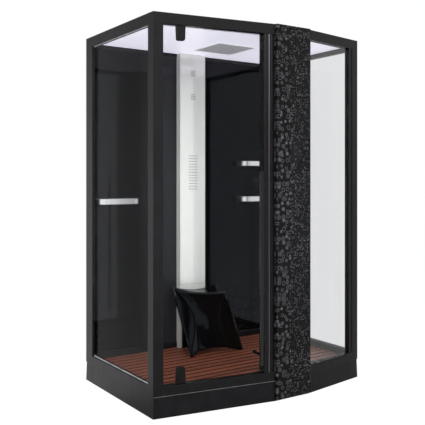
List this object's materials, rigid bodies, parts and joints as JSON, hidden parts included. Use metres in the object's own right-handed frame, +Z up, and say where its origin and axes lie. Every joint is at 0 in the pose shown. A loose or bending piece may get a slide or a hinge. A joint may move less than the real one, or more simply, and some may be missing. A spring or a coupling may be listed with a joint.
{
  "type": "steam shower cabin",
  "caption": "Bow-fronted steam shower cabin with a pivot glass door, technical column, black back wall with a polished shower column, lit ceiling, slatted deck and twisted seat",
  "frame": {"origin": "on the floor, midway between the rear of the frame and the foremost point of the door handle, and midway across the width", "axes": "+X to the right along the back wall seen from the front, +Y towards the back wall, +Z up"},
  "size_m": [1.5, 1.0516, 2.2],
  "materials": {
    "frame_black": "satin black powder coat on extruded aluminium",
    "strike_black": "gloss black coated",
    "dark_chrome": "dark polished chrome",
    "clamp_black": "satin black",
    "tray_black": "gloss black moulded acrylic",
    "clear_glass": "clear toughened glass",
    "black_glass": "black back-painted glass",
    "column_black": "gloss black with a printed ring pattern",
    "housing_black": "satin black folded sheet",
    "ceiling_white": "translucent white, lit from above",
    "roof_white": "matt white",
    "light_diffuser": "frosted",
    "polished_steel": "polished stainless steel",
    "nozzle_black": "soft nozzles",
    "chrome": "polished chrome",
    "seal_clear": "clear lip seal",
    "wood_brown": "oiled reddish-brown slats",
    "bearer_black": "matt black",
    "seat_black": "high gloss black",
    "foot_rubber": "rubber-shod steel",
    "drain_grey": "moulded",
    "pipe_brass": "drawn brass",
    "unit_grey": "grey enclosure",
    "display_glass": "black cover glass"
  },
  "bodies": {
    "cabin": {"post_front_left": "frame_black", "post_front_right": "frame_black", "post_rear_left": "frame_black", "post_rear_right": "frame_black", "rail_top_left": "frame_black", "rail_low_left": "frame_black", "rail_top_right": "frame_black", "rail_low_right": "frame_black", "rail_top_back": "frame_black", "rail_low_back": "frame_black", "rail_top_door": "frame_black", "rail_low_door": "frame_black", "rail_top_side": "frame_black", "rail_low_side": "frame_black", "jamb_side": "frame_black", "strike_profile": "strike_black", "tray": "tray_black", "pane_left": "clear_glass", "pane_right": "clear_glass", "pane_side": "clear_glass", "back_panel_left": "black_glass", "back_panel_right": "black_glass", "column_cover": "column_black", "column_cap": "column_black", "column_housing": "housing_black", "ceiling_panel": "ceiling_white", "roof_cover": "roof_white", "rain_water_box": "roof_white", "light_bars": "light_diffuser", "shower_column_upper": "polished_steel", "shower_column_lower": "polished_steel", "rain_head": "polished_steel", "waste_grate": "polished_steel", "body_jets": "nozzle_black", "shelf_left": "chrome", "shelf_right_lower": "chrome", "shelf_right_upper": "chrome", "control_plate": "chrome", "steam_outlet": "chrome", "tray_feet": "foot_rubber", "waste_trap": "drain_grey", "supply_pipes": "pipe_brass", "steam_generator": "unit_grey", "power_unit": "unit_grey", "valve_block": "unit_grey", "touch_panel": "display_glass"},
    "door": {"door_glass": "clear_glass", "door_clamp_top": "clamp_black", "door_clamp_low": "clamp_black", "door_seal": "seal_clear", "handle_bar": "dark_chrome", "handle_knobs": "dark_chrome"},
    "control_knob": {"control_knob": "chrome"},
    "deck": {"deck_slats": "wood_brown", "deck_bearers": "bearer_black"},
    "seat": {"seat": "seat_black"}
  },
  "joints": [
    {"name": "door_pivot", "type": "hinge", "parent": "cabin", "child": "door", "pos_m": [-0.58298, -0.37382, 1.155], "axis": [0, 0, -1], "range_deg": [0, 90]},
    {"name": "knob_turn", "type": "hinge", "parent": "cabin", "child": "control_knob", "pos_m": [0.07, -0.30615, 0.571], "axis": [0, 1, 0], "range_deg": [0, 270]},
    {"name": "deck_lift", "type": "slide", "parent": "cabin", "child": "deck", "axis": [0, 0, 1], "range_m": [0, 0.04]},
    {"name": "seat_lift", "type": "slide", "parent": "deck", "child": "seat", "axis": [0, 0, 1], "range_m": [0, 0.15]}
  ]
}
